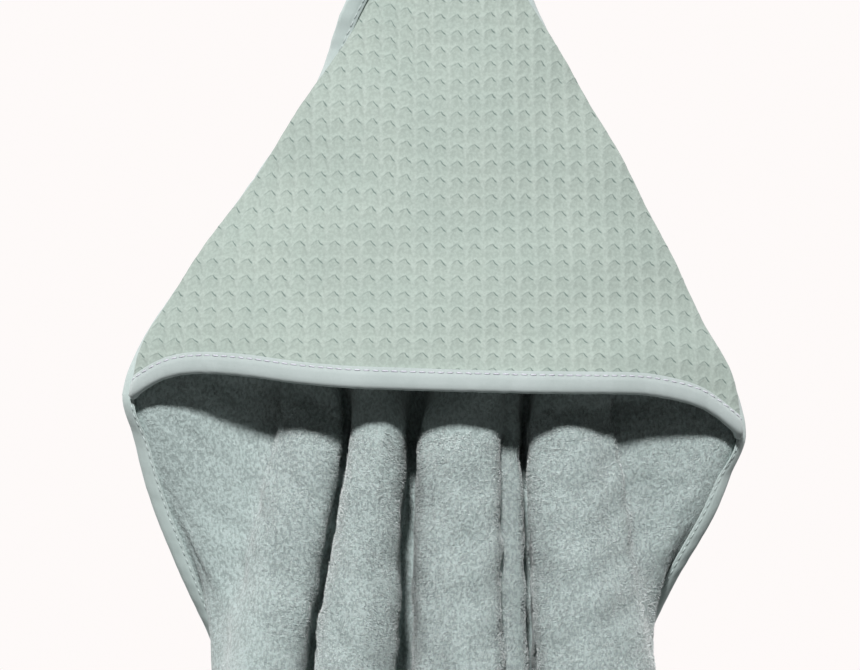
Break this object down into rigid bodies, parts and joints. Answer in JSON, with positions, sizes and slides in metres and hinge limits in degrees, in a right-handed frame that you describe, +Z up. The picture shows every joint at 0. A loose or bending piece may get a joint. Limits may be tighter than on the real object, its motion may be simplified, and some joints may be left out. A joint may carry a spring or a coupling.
{
  "type": "baby bath cape",
  "caption": "Baby bath cape held up by its hanging loop: triangular hood panel bound along its opening over a square terry towel that falls in deep folds",
  "frame": {"origin": "the inner top of the hanging loop, where the hook bears", "axes": "+Z up, -Y the front that shows the hood panel, +X to the right seen from the front"},
  "size_m": [0.2979, 0.1628, 1.0412],
  "materials": {
    "terry": "matte terry pile",
    "hood_cloth": "matte relief weave",
    "opening_tape": "smooth woven tape",
    "edge_tape": "smooth woven tape",
    "loop_tape": "smooth woven tape"
  },
  "bodies": {
    "root": {"towel": "terry", "hood_panel": "hood_cloth", "opening_binding": "opening_tape", "edge_binding": "edge_tape", "hanging_loop": "loop_tape"}
  },
  "joints": []
}
